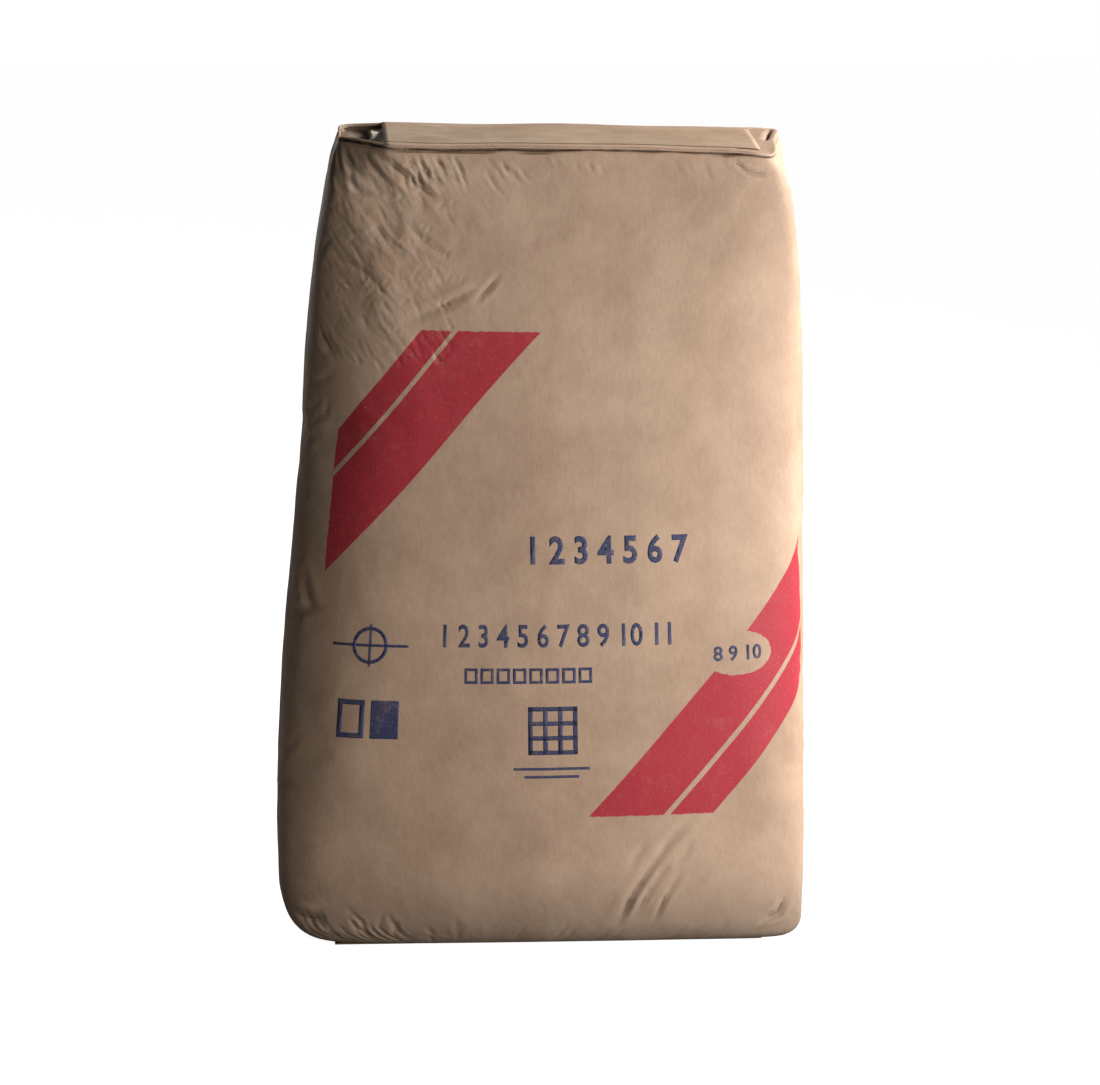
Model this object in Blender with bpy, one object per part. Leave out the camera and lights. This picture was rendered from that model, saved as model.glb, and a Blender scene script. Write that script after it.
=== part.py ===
"""A full 50 kg cement bag: a pasted valve sack of brown kraft paper standing on its block bottom.

Metres, +Z up, the printed front faces -Y, and the origin is at the middle of the base on the floor.
The pieces are the paper tube with its folded ends, a cover strip pasted over each end, the valve
sleeve in the top left corner, and the cement that fills the tube.
"""

import math

import bmesh
import bpy
from mathutils import Matrix, Vector

# Paper, in metres
PLY = 0.00012                    # one ply of 80 g sack kraft
TUBE_WALL = 3 * PLY              # three plies, pasted together at the ends
STRIP_THICKNESS = 4 * PLY        # a cover strip, the fold under it and the paste
GLUE_GAP = 0.0003                # what touching pieces keep between them

# The filled tube
HEIGHT = 0.640                   # floor to the top end face, at the middle
BASE_CLEARANCE = STRIP_THICKNESS + GLUE_GAP
END_SLOPE = 0.020                # how far the top end face drops for each metre to the right
SLOPE_STARTS = 0.25 * HEIGHT     # below this height the tube stands straight
RING_POINTS = 64                 # points round one section of the tube
FOOT_RINGS = 8
WALL_RINGS = 16
FILL_COARSER = 2                 # the cement has this many times fewer points and rings
CORNER_SHARE = 0.05              # metres of flat paper that count as much as one radian of bend

# Where the tube is at some heights: height, left edge, right edge, half its depth, squareness.
# A squareness of 2 is an ellipse, and a large one a rectangle.
WALL_STATIONS = (
    (0.000, -0.2087, 0.2087, 0.0610, 7.0),
    (0.070, -0.2087, 0.2087, 0.0730, 4.2),
    (0.150, -0.2055, 0.2072, 0.0800, 3.4),
    (0.270, -0.1965, 0.2055, 0.0825, 3.1),
    (0.410, -0.1840, 0.2030, 0.0820, 3.1),
    (0.520, -0.1770, 0.2010, 0.0795, 3.4),
    (0.580, -0.1700, 0.1980, 0.0755, 4.2),
    (0.625, -0.1610, 0.1895, 0.0700, 7.0),
    (0.640, -0.1580, 0.1870, 0.0680, 10.0),
)

# The bottom corners are pushed round: how far in and how far up each rounding reaches
LEFT_FOOT = (0.034, 0.050)
RIGHT_FOOT = (0.014, 0.022)
FRONT_FOOT = (0.013, 0.020)

# The stiff pasted top end stands out over a shallow neck in the soft wall below it
LIP_RADIUS = 0.0030
NECK_BELOW_TOP = 0.0130
NECK_DEPTH = 0.0022
NECK_WIDTH = 0.0060

# The valve, in the top left corner
VALVE_EDGE_X = -0.128            # the end face stops here, and the corner tuck lies lower
VALVE_STEP = 0.0044              # from the end face down to the tuck
TUCK_SLOPE = 0.04                # the tuck falls this much for each metre to the left
TUCK_REACH = (0.10, 0.12, 0.06)  # what is cut off above the tuck: to the left, to each side, upwards
SLEEVE_WIDTH = 0.094
SLEEVE_THICKNESS = 0.0026        # the sleeve pressed flat
SLEEVE_LENGTH = 0.118
SLEEVE_OUT = 0.008               # how far it sticks out over the tuck
SLEEVE_WALL = 4 * PLY            # two plies, folded double
SLIT_SILL = 0.0005               # the slit starts this far above the tuck
SLIT_MARGIN = 0.0010             # and is this much wider than the sleeve on each side
SLIT_REACH = (0.004, 0.010)      # how far the cut for it runs outside and inside the wall
SLEEVE_END_POINTS = 6            # points round each rounded side of the sleeve

# The cover strips
TOP_STRIP = (VALVE_EDGE_X, 0.172, 0.052)       # left end, right end, half its width
BOTTOM_STRIP = (-0.165, 0.175, 0.046)
STRIP_CLIP = 0.006               # how far their corners are clipped

# The cement
FILL_GAP = TUBE_WALL + 0.0005
FILL_HEADSPACE = VALVE_STEP + 0.0008           # empty paper above the cement, where the sleeve lies
FILL_BEHIND_STEP = 0.004         # the cement rises to it this far behind the valve's step

KRAFT_BROWN = (0.400, 0.262, 0.165, 1.0)
STRIP_BROWN = (0.345, 0.245, 0.155, 1.0)
SLEEVE_PALE = (0.560, 0.470, 0.390, 1.0)
CEMENT_GREY = (0.270, 0.265, 0.255, 1.0)


def clear_scene():
    for old in list(bpy.data.objects):
        bpy.data.objects.remove(old)


def finish(name, colour, roughness):
    material = bpy.data.materials.new(name)
    material.use_nodes = True
    shader = material.node_tree.nodes["Principled BSDF"]
    shader.inputs["Base Color"].default_value = colour
    shader.inputs["Roughness"].default_value = roughness
    shader.inputs["Metallic"].default_value = 0.0
    return material


def smooth_curve(points, at):
    """The value at a height, on a curve through (height, value) points that never overshoots them."""
    heights = [p[0] for p in points]
    values = [p[1] for p in points]
    slopes = [(values[i + 1] - values[i]) / (heights[i + 1] - heights[i]) for i in range(len(points) - 1)]
    tangents = [slopes[0]]
    for before, after in zip(slopes, slopes[1:]):
        turns = before * after <= 0
        tangents.append(0.0 if turns else 2 * before * after / (before + after))
    tangents.append(slopes[-1])
    at = min(max(at, heights[0]), heights[-1])
    i = max(k for k in range(len(slopes)) if heights[k] <= at)
    span = heights[i + 1] - heights[i]
    t = (at - heights[i]) / span
    return (
        (1 + 2 * t) * (1 - t) ** 2 * values[i]
        + t * (1 - t) ** 2 * span * tangents[i]
        + t * t * (3 - 2 * t) * values[i + 1]
        + t * t * (t - 1) * span * tangents[i + 1]
    )


def foot_inset(height, foot):
    """How far a rounded bottom edge lies inside the wall above it."""
    reach_in, reach_up = foot
    if height >= reach_up:
        return 0.0
    return reach_in * (1 - math.sqrt(1 - (1 - height / reach_up) ** 2))


def end_inset(height):
    """How far the rounded lip of the top end, and the neck below it, lie inside the wall."""
    below = HEIGHT - height
    neck = NECK_DEPTH * math.exp(-(((below - NECK_BELOW_TOP) / NECK_WIDTH) ** 2))
    if below >= LIP_RADIUS:
        return neck
    return neck + LIP_RADIUS * (1 - math.sqrt(1 - (1 - below / LIP_RADIUS) ** 2))


def wall_at(height):
    """Left edge, right edge, half depth and squareness of the tube's outside at a height."""
    left, right, half_depth, squareness = (
        smooth_curve([(station[0], station[column]) for station in WALL_STATIONS], height)
        for column in range(1, 5)
    )
    top = end_inset(height)
    return (
        left + foot_inset(height, LEFT_FOOT) + top,
        right - foot_inset(height, RIGHT_FOOT) - top,
        half_depth - foot_inset(height, FRONT_FOOT) - top,
        squareness,
    )


def section(left, right, half_depth, squareness, count):
    """Points round one section, closer together where the paper bends round a corner."""
    half_width = (right - left) / 2
    fine = 40 * count

    def on_curve(step):
        angle = 2 * math.pi * step / fine - math.pi / 2
        across, along = math.cos(angle), math.sin(angle)
        power = 2 / squareness
        return Vector((
            half_width * math.copysign(abs(across) ** power, across),
            half_depth * math.copysign(abs(along) ** power, along),
        ))

    curve = [on_curve(step) for step in range(fine + 1)]
    sides = [b - a for a, b in zip(curve, curve[1:])]
    travelled = [0.0]
    for i, side in enumerate(sides):
        bend = abs(side.angle_signed(sides[i - 1], 0.0))
        travelled.append(travelled[-1] + side.length + CORNER_SHARE * bend)
    middle = (left + right) / 2
    points = []
    i = 0
    for k in range(count):
        wanted = travelled[-1] * k / count
        while travelled[i + 1] < wanted:
            i += 1
        share = (wanted - travelled[i]) / (travelled[i + 1] - travelled[i])
        found = curve[i].lerp(curve[i + 1], share)
        points.append((found.x + middle, found.y))
    return points


def ring_heights(foot_steps, wall_steps, top=HEIGHT):
    """Heights of the rings up to a top: close together round the foot and at the lip, even between."""
    foot = LEFT_FOOT[1]
    heights = [foot * (1 - math.cos(math.pi / 2 * i / foot_steps)) for i in range(foot_steps)]
    neck = HEIGHT - NECK_BELOW_TOP
    wall_top = neck - 2 * NECK_WIDTH
    heights += [foot + (wall_top - foot) * i / wall_steps for i in range(wall_steps + 1)]
    heights += [neck - NECK_WIDTH, neck, neck + NECK_WIDTH]
    heights += [HEIGHT - LIP_RADIUS, HEIGHT - 0.3 * LIP_RADIUS]
    return [height for height in heights if height < top] + [top]


def lean(point):
    """The top end face of the real bag isn't level: it drops to the right, and the wall follows it."""
    climb = (point.z - SLOPE_STARTS) / (HEIGHT - SLOPE_STARTS)
    climb = min(max(climb, 0.0), 1.0)
    weight = climb * climb * (3 - 2 * climb)
    return Vector((point.x, point.y, point.z - END_SLOPE * weight * point.x))


def closed_loft(mesh, count, heights, base, inset=0.0):
    """A closed skin through the tube's sections, drawn in by inset, that starts at the base height."""
    loops = []
    for height in heights:
        left, right, half_depth, squareness = wall_at(height)
        z = base + (HEIGHT - base) * height / HEIGHT
        outline = section(left + inset, right - inset, half_depth - inset, squareness, count)
        loops.append([mesh.verts.new((x, y, z)) for x, y in outline])
    for loop in loops:
        for a, b in zip(loop, loop[1:] + loop[:1]):
            mesh.edges.new((a, b))
    for lower, upper in zip(loops, loops[1:]):
        for k in range(count):
            following = (k + 1) % count
            mesh.faces.new((lower[k], lower[following], upper[following], upper[k]))
    mesh.faces.new(reversed(loops[0]))
    mesh.faces.new(loops[-1])


def add_object(mesh, name, material):
    """The finished mesh as an object of the scene, leaning with the bag."""
    for vertex in mesh.verts:
        vertex.co = lean(vertex.co)
    bmesh.ops.recalc_face_normals(mesh, faces=mesh.faces)
    data = bpy.data.meshes.new(name)
    mesh.to_mesh(data)
    mesh.free()
    data.materials.append(material)
    data.shade_smooth()
    data.set_sharp_from_angle(angle=math.radians(40))
    obj = bpy.data.objects.new(name, data)
    bpy.context.scene.collection.objects.link(obj)
    return obj


def cut_away(obj, cutter):
    modifier = obj.modifiers.new("cut", "BOOLEAN")
    modifier.operation = "DIFFERENCE"
    modifier.solver = "EXACT"
    modifier.object = cutter


def helper_box(name, low, high, turn=0.0, pivot=(0, 0, 0)):
    """A box that only cuts: it spans low to high, and is then turned about Y at the pivot."""
    mesh = bmesh.new()
    bmesh.ops.create_cube(mesh, size=1.0)
    size = Vector(high) - Vector(low)
    middle = (Vector(high) + Vector(low)) / 2
    mesh.transform(Matrix.Translation(middle) @ Matrix.Diagonal((*size, 1.0)))
    spin = Matrix.Rotation(turn, 4, "Y")
    place = Matrix.Translation(pivot)
    mesh.transform(place @ spin @ place.inverted())
    data = bpy.data.meshes.new(name)
    mesh.to_mesh(data)
    mesh.free()
    obj = bpy.data.objects.new(name, data)
    obj.hide_render = True
    obj.display_type = "WIRE"
    bpy.context.scene.collection.objects.link(obj)
    return obj


def end_face_at(x):
    """Height of the top end face at a distance from the middle."""
    return lean(Vector((x, 0, HEIGHT))).z


def tuck_cutter(name, below=0.0, right=0.0):
    """Takes the corner off above the valve's tuck, which slopes down to the left."""
    pivot = (VALVE_EDGE_X + right, 0.0, end_face_at(VALVE_EDGE_X) - VALVE_STEP - below)
    left, sideways, up = TUCK_REACH
    low = (pivot[0] - left, -sideways, pivot[2])
    high = (pivot[0], sideways, pivot[2] + up)
    return helper_box(name, low, high, -math.atan(TUCK_SLOPE), pivot)


def make_tube():
    """The paper tube: its outside, stepped down at the valve, made a thin wall with the valve's slit."""
    mesh = bmesh.new()
    closed_loft(mesh, RING_POINTS, ring_heights(FOOT_RINGS, WALL_RINGS), BASE_CLEARANCE)
    tube = add_object(mesh, "paper_tube", finish("kraft_paper", KRAFT_BROWN, 0.75))
    cut_away(tube, tuck_cutter("tuck_cutter"))
    wall = tube.modifiers.new("wall", "SOLIDIFY")
    wall.thickness = TUBE_WALL
    wall.offset = -1
    wall.use_even_offset = True
    step_foot = end_face_at(VALVE_EDGE_X) - VALVE_STEP
    half_slit = SLEEVE_WIDTH / 2 + SLIT_MARGIN
    sill = step_foot + SLIT_SILL
    outside, inside = SLIT_REACH
    slit_low = (VALVE_EDGE_X - outside, -half_slit, sill)
    slit_high = (VALVE_EDGE_X + inside, half_slit, sill + SLEEVE_THICKNESS + 2 * GLUE_GAP)
    cut_away(tube, helper_box("slit_cutter", slit_low, slit_high))
    return tube


def make_strip(name, ends, low):
    """A flat strip of paper with clipped corners, from its left end to its right end."""
    left, right, half_width = ends
    outline = []
    for x, y, step_x, step_y in (
        (left, -half_width, 1, 1),
        (right, -half_width, -1, 1),
        (right, half_width, -1, -1),
        (left, half_width, 1, -1),
    ):
        along = (x + step_x * STRIP_CLIP, y)
        across = (x, y + step_y * STRIP_CLIP)
        outline += [across, along] if step_x == step_y else [along, across]
    mesh = bmesh.new()
    base = mesh.faces.new([mesh.verts.new((x, y, low)) for x, y in outline])
    risen = bmesh.ops.extrude_face_region(mesh, geom=[base])["geom"]
    bmesh.ops.translate(
        mesh,
        vec=(0, 0, STRIP_THICKNESS),
        verts=[item for item in risen if isinstance(item, bmesh.types.BMVert)],
    )
    return add_object(mesh, name, finish(name, STRIP_BROWN, 0.8))


def make_sleeve():
    """The valve sleeve: a paper tube pressed flat, open at both ends, lying through the slit."""
    radius = SLEEVE_THICKNESS / 2 - SLEEVE_WALL / 2
    half_flat = SLEEVE_WIDTH / 2 - SLEEVE_THICKNESS / 2
    start_x = VALVE_EDGE_X - SLEEVE_OUT
    rise = HEIGHT - VALVE_STEP + SLIT_SILL + GLUE_GAP + SLEEVE_THICKNESS / 2
    outline = []
    for side in (1, -1):
        for step in range(SLEEVE_END_POINTS + 1):
            angle = math.pi * (step / SLEEVE_END_POINTS - 0.5)
            outline.append((
                side * (half_flat + radius * math.cos(angle)),
                side * radius * math.sin(angle),
            ))
    mesh = bmesh.new()
    first = [mesh.verts.new((start_x, y, rise + z)) for y, z in outline]
    edges = [mesh.edges.new((a, b)) for a, b in zip(first, first[1:] + first[:1])]
    drawn = bmesh.ops.extrude_edge_only(mesh, edges=edges)["geom"]
    bmesh.ops.translate(
        mesh,
        vec=(SLEEVE_LENGTH, 0, 0),
        verts=[item for item in drawn if isinstance(item, bmesh.types.BMVert)],
    )
    sleeve = add_object(mesh, "valve_sleeve", finish("sleeve_paper", SLEEVE_PALE, 0.8))
    wall = sleeve.modifiers.new("wall", "SOLIDIFY")
    wall.thickness = SLEEVE_WALL
    wall.offset = 0
    return sleeve


def make_cement():
    """The cement: the inside of the tube up to just under the valve sleeve."""
    mesh = bmesh.new()
    heights = ring_heights(
        FOOT_RINGS // FILL_COARSER,
        WALL_RINGS // FILL_COARSER,
        top=HEIGHT - FILL_HEADSPACE,
    )
    points = RING_POINTS // FILL_COARSER
    closed_loft(mesh, points, heights, BASE_CLEARANCE + FILL_GAP, inset=FILL_GAP)
    cement = add_object(mesh, "cement_fill", finish("cement", CEMENT_GREY, 0.95))
    below = FILL_HEADSPACE - VALVE_STEP
    cut_away(cement, tuck_cutter("fill_cutter", below=below, right=FILL_BEHIND_STEP))
    return cement


clear_scene()
make_tube()
make_strip("top_cover_strip", TOP_STRIP, HEIGHT + GLUE_GAP)
make_strip("bottom_cover_strip", BOTTOM_STRIP, 0.0)
make_sleeve()
make_cement()
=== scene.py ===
"""The looks of a full cement bag: a pasted valve sack of brown kraft paper, standing on its block bottom.

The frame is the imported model: metres, +Z up, the printed front faces -Y. Places on the paper are
given on the flat sheet, u round the bag from the middle of the front and v up from its lowest fold.
"""
import math

import bmesh
import bpy
import numpy as np
from mathutils import Matrix, Vector
from mathutils.geometry import delaunay_2d_cdt


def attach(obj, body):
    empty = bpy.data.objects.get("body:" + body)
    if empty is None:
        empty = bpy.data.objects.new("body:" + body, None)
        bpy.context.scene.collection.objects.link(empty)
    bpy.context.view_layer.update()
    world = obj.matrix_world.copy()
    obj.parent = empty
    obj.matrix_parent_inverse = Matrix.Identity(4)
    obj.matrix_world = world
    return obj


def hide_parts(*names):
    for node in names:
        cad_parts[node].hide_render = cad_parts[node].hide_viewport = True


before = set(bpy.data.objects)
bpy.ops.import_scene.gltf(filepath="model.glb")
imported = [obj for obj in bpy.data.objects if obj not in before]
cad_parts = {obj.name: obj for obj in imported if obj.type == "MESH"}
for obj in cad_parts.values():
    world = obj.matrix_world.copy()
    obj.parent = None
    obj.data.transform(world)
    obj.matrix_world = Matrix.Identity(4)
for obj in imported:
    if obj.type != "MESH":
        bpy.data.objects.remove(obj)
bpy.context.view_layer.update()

# The paper tube.
# Three plies of brown kraft, wound into a tube of 1.0 m round and glued down the back. Filling has
# pushed it into a block, and what the block doesn't use is gathered in puckers under the top end.

SHEET_ROUND = 1.0
SHEET_COLUMNS = 192
SHEET_ROWS = 122
HEIGHT = 0.640
BASE = 0.0004
END_SLOPE = 0.020
SLOPE_STARTS = 0.25 * HEIGHT
FOLD_BELOW = 0.0065              # the soft wall ends this far below the top, at the stiff pasted end
OUTLINE_POINTS = 4801
LEFT_FOOT = (0.034, 0.050)
RIGHT_FOOT = (0.010, 0.017)
FRONT_FOOT = (0.013, 0.020)
# height, left edge, right edge, half its depth, how much less deep it is at the sides, and how square
# it is at the left and the right of the front and at the back
WALL_STATIONS = (
    (0.000, -0.2087, 0.2087, 0.0610, 0.08, 7.0, 9.0, 7.0),
    (0.070, -0.2087, 0.2087, 0.0730, 0.26, 7.0, 12.0, 5.5),
    (0.150, -0.2055, 0.2072, 0.0800, 0.34, 7.0, 12.0, 5.0),
    (0.270, -0.1965, 0.2055, 0.0825, 0.36, 7.0, 12.0, 5.0),
    (0.410, -0.1840, 0.2030, 0.0820, 0.34, 7.0, 12.0, 5.0),
    (0.520, -0.1770, 0.2010, 0.0795, 0.26, 7.0, 11.0, 5.5),
    (0.580, -0.1695, 0.1965, 0.0755, 0.13, 8.0, 11.0, 7.0),
    (0.625, -0.1595, 0.1885, 0.0700, 0.03, 13.0, 14.0, 13.0),
    (0.640, -0.1540, 0.1805, 0.0680, 0.00, 24.0, 24.0, 24.0),
)


def smooth_curve(points, at):
    """The value at a height, on a curve through (height, value) points that never overshoots them."""
    heights = [p[0] for p in points]
    values = [p[1] for p in points]
    slopes = [(values[i + 1] - values[i]) / (heights[i + 1] - heights[i]) for i in range(len(points) - 1)]
    tangents = [slopes[0]]
    for before, after in zip(slopes, slopes[1:]):
        turns = before * after <= 0
        tangents.append(0.0 if turns else 2 * before * after / (before + after))
    tangents.append(slopes[-1])
    at = min(max(at, heights[0]), heights[-1])
    i = max(k for k in range(len(slopes)) if heights[k] <= at)
    span = heights[i + 1] - heights[i]
    t = (at - heights[i]) / span
    return (
        (1 + 2 * t) * (1 - t) ** 2 * values[i]
        + t * (1 - t) ** 2 * span * tangents[i]
        + t * t * (3 - 2 * t) * values[i + 1]
        + t * t * (t - 1) * span * tangents[i + 1]
    )


def foot_inset(height, foot):
    """How far a rounded bottom edge lies inside the wall above it."""
    reach_in, reach_up = foot
    if height >= reach_up:
        return 0.0
    return reach_in * (1 - math.sqrt(1 - (1 - height / reach_up) ** 2))


def wall_at(height):
    """The numbers of WALL_STATIONS at a height, with the rounded foot taken off the edges."""
    left, right, half_depth, *form = (
        smooth_curve([(station[0], station[column]) for station in WALL_STATIONS], height)
        for column in range(1, len(WALL_STATIONS[0]))
    )
    return (
        left + foot_inset(height, LEFT_FOOT),
        right - foot_inset(height, RIGHT_FOOT),
        half_depth - foot_inset(height, FRONT_FOOT),
        *form,
    )


def outline(height):
    """The outline at a height as a closed line of points, from the middle of the back over the left."""
    left, right, half_depth, falls_off, square_left, square_right, square_back = wall_at(height)
    angle = np.linspace(0.5 * math.pi, 2.5 * math.pi, OUTLINE_POINTS)
    across, along = np.cos(angle).round(9), np.sin(angle).round(9)
    power = 2 / np.where(along > 0, square_back, np.where(across > 0, square_right, square_left))
    x = np.sign(across) * np.abs(across) ** power
    y = np.sign(along) * np.abs(along) ** power * (1 - falls_off * x * x)
    return (left + right) / 2 + (right - left) / 2 * x, half_depth * y


def leaned(x, z):
    """The top end of the bag drops to the right, and the wall below follows it."""
    climb = np.clip((z - SLOPE_STARTS) / (HEIGHT - SLOPE_STARTS), 0, 1)
    return z - END_SLOPE * climb * climb * (3 - 2 * climb) * x


def corner_pull(x, y):
    """How far the corners of the folded top stray to the right, to the back and up.

    At the right the front corner is pushed in and down, and the back one stands out. The front corner
    by the valve is drawn in with its tuck, which cuts it off slantwise.
    """
    to_right = np.clip((x - 0.120) / 0.055, 0, 1) ** 1.5
    to_left = np.clip((-0.1195 - x) / 0.0345, 0, 1)
    to_front = np.clip(-y / 0.066, 0, 1)
    to_back = np.clip(y / 0.066, 0, 1)
    aside = to_right * (0.0100 * to_back - 0.0060 * to_front ** 2)
    up = 0.0042 * to_left * to_front - 0.0012 * to_left * to_back - 0.0050 * to_right ** 2 * to_front ** 2
    return aside, 0.0260 * to_left ** 1.15 * to_front, up


def lengths_along(x, y):
    return np.concatenate([[0.0], np.cumsum(np.hypot(np.diff(x), np.diff(y)))])


def row_heights():
    """Heights of the sheet's rows, the same paper apart down the front, and the paper's length there."""
    tried = (HEIGHT - FOLD_BELOW) * (1 - np.cos(np.linspace(0, 0.5 * math.pi, 3000)))
    front = np.array([wall_at(height)[2] for height in tried])
    paper = lengths_along(front, tried)
    wanted = np.linspace(0, paper[-1], SHEET_ROWS + 1)
    return np.interp(wanted, paper, tried), paper[-1]


HEIGHTS, SHEET_TALL = row_heights()


# The puckers take up the paper that the block doesn't use: most of it near the valve, at the left.
PUCKER_MIDDLE = -0.105
PUCKER_REACH = 0.085
PUCKER_SHARE = 0.62


def sheet_position(columns, height):
    """Where points of the sheet, u round from the middle of the front, lie on the outline at a height."""
    x, y = outline(height)
    along = lengths_along(x, y)
    slack = max(0.0, 1 - along[-1] / SHEET_ROUND)
    near = np.exp(-(((columns - PUCKER_MIDDLE) / PUCKER_REACH) ** 2))
    dense = 1 - slack * ((1 - PUCKER_SHARE) + PUCKER_SHARE * near / near.mean())
    middle = 0.5 * (dense[1:] + dense[:-1])
    travelled = np.concatenate([[0.0], np.cumsum(middle)])
    travelled *= along[-1] / travelled[-1]
    return np.interp(travelled, along, x), np.interp(travelled, along, y), slack


def flat_sheet(columns, rows):
    """A grid for the paper with its flat place, in metres, in a UV map named sheet."""
    mesh = bmesh.new()
    bmesh.ops.create_grid(mesh, x_segments=columns, y_segments=rows, size=0.5)
    flat = mesh.loops.layers.uv.new("sheet")
    for face in mesh.faces:
        for loop in face.loops:
            place = loop.vert.co
            loop[flat].uv = (place.x * SHEET_ROUND, (place.y + 0.5) * SHEET_TALL)
    return mesh


def wrap_sheet(mesh):
    """Bends the flat grid round the block and closes it down the back."""
    columns = np.linspace(-0.5, 0.5, SHEET_COLUMNS + 1) * SHEET_ROUND
    places = []
    for height in HEIGHTS:
        x, y, slack = sheet_position(columns, height)
        z = leaned(x, BASE + (HEIGHT - BASE) * height / HEIGHT)
        aside, back, up = corner_pull(x, y)
        near_top = float(np.clip((height - 0.595) / 0.036, 0, 1)) ** 1.5
        drawn_in = float(np.clip((height - 0.598) / 0.034, 0, 1)) ** 1.8
        places.append((x + near_top * aside, y + drawn_in * back, z + near_top * up))
    for vert in mesh.verts:
        column = round((vert.co.x + 0.5) * SHEET_COLUMNS)
        row = round((vert.co.y + 0.5) * SHEET_ROWS)
        x, y, z = places[row]
        vert.co = (x[column], y[column], z[column])
    bmesh.ops.remove_doubles(mesh, verts=mesh.verts, dist=0.00001)


def new_piece(name, mesh, smooth=True):
    """The finished bmesh as an object of the scene."""
    data = bpy.data.meshes.new(name)
    mesh.to_mesh(data)
    mesh.free()
    if smooth:
        data.shade_smooth()
    piece = bpy.data.objects.new(name, data)
    bpy.context.scene.collection.objects.link(piece)
    return piece


def read(items, name, width):
    """A property of each item, of width numbers, as the rows of an array."""
    values = np.empty(len(items) * width, np.float32)
    items.foreach_get(name, values)
    return values.reshape(-1, width).astype(float)


def points_of(data):
    return read(data.vertices, "co", 3)


def set_points(data, places):
    data.vertices.foreach_set("co", places.astype(np.float32).ravel())
    data.update()


def flat_corners(data):
    """The vertex at each corner of each face, and where the corner lies on the flat sheet."""
    corners = np.empty(len(data.loops), np.int32)
    data.loops.foreach_get("vertex_index", corners)
    return corners, read(data.uv_layers["sheet"].uv, "vector", 2)


def sheet_order(data, columns, rows):
    """The vertices in the order of the sheet: one row of the array for each row of the paper."""
    corners, uv = flat_corners(data)
    column = np.round((uv[:, 0] / SHEET_ROUND + 0.5) * columns).astype(int) % columns
    row = np.round(uv[:, 1] / SHEET_TALL * rows).astype(int)
    order = np.zeros((rows + 1, columns), np.int64)
    order[row, column] = corners
    return order


def rest_lengths(sheet, order):
    """A shape key with the paper as it was before filling: one straight tube, as long as the wall is."""
    shaped = points_of(sheet.data)[order]
    steps = np.linalg.norm(np.diff(shaped, axis=0), axis=2).mean(axis=1)
    up = np.concatenate([[0.0], np.cumsum(steps)])
    angle = 2 * math.pi * (np.arange(SHEET_COLUMNS) / SHEET_COLUMNS - 0.5)
    radius = SHEET_ROUND / (2 * math.pi)
    straight = np.empty_like(points_of(sheet.data))
    for row in range(SHEET_ROWS + 1):
        straight[order[row]] = np.stack(
            [radius * np.sin(angle), -radius * np.cos(angle), np.full_like(angle, up[row])], axis=1
        )
    sheet.shape_key_add(name="shaped")
    key = sheet.shape_key_add(name="before_filling")
    key.data.foreach_set("co", straight.astype(np.float32).ravel())
    return key


SIMULATED_FRAMES = 24
HELD_LIGHTLY = 0.02              # how firmly the wall keeps to the block while it is pressed out


def press_out(sheet, order):
    """Cloth simulation: the powder presses the paper out, and its spare width gathers into folds."""
    key = rest_lengths(sheet, order)
    held = sheet.vertex_groups.new(name="held")
    held.add([int(i) for i in order[1:-1].ravel()], HELD_LIGHTLY, "REPLACE")
    held.add([int(i) for i in order[[0, -1]].ravel()], 1.0, "REPLACE")
    cloth = sheet.modifiers.new("paper", "CLOTH")
    paper = cloth.settings
    paper.quality = 5
    paper.mass = 0.2
    paper.tension_stiffness = 60
    paper.compression_stiffness = 60
    paper.shear_stiffness = 30
    paper.bending_stiffness = 0.4
    paper.tension_damping = 10
    paper.compression_damping = 10
    paper.shear_damping = 10
    paper.air_damping = 3
    paper.use_pressure = True
    paper.uniform_pressure_force = 1.5
    paper.effector_weights.gravity = 0
    paper.vertex_group_mass = "held"
    paper.pin_stiffness = 1.0
    paper.rest_shape_key = key
    cloth.point_cache.frame_end = SIMULATED_FRAMES
    scene = bpy.context.scene
    for frame_number in range(1, SIMULATED_FRAMES + 1):
        scene.frame_set(frame_number)
    pressed = sheet.evaluated_get(bpy.context.evaluated_depsgraph_get())
    places = points_of(pressed.data)
    sheet.modifiers.remove(cloth)
    sheet.shape_key_clear()
    scene.frame_set(1)
    return places


def blurred(field, reach):
    """The field without what is finer than reach cells. It runs on round the bag, and stops at the ends."""
    offsets = np.arange(-3 * reach, 3 * reach + 1)
    weights = np.exp(-0.5 * (offsets / reach) ** 2)
    weights /= weights.sum()
    across = sum(w * np.roll(field, k, axis=1) for k, w in zip(offsets, weights))
    padded = np.pad(across, [(3 * reach, 3 * reach)] + [(0, 0)] * (field.ndim - 1), mode="edge")
    rows = field.shape[0]
    return sum(w * padded[3 * reach + k:3 * reach + k + rows] for k, w in zip(offsets, weights))


def bump(value, middle, reach):
    return np.exp(-(((value - middle) / reach) ** 2))


def step_up(value, low, high):
    """0 below low, 1 above high, and smooth between."""
    t = np.clip((value - low) / (high - low), 0, 1)
    return t * t * (3 - 2 * t)


def fold_strength(u, v):
    """How much of the simulated folds each place keeps: the printed front is the smoothest."""
    front = bump(u, 0.03, 0.17)
    low_front = front * (1 - step_up(v, 0.30, 0.52))
    near_valve = bump(u, -0.12, 0.12) * bump(v, SHEET_TALL, 0.20)
    strength = 0.75 - 0.62 * low_front - 0.35 * front * step_up(v, 0.30, 0.52)
    return np.clip(strength + 0.45 * near_valve, 0.1, 1.0)


FOLDS_FINER_THAN = 8             # cells of the coarse sheet; broader swellings are the block's own
DEEPEST_FOLD = 0.005

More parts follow.
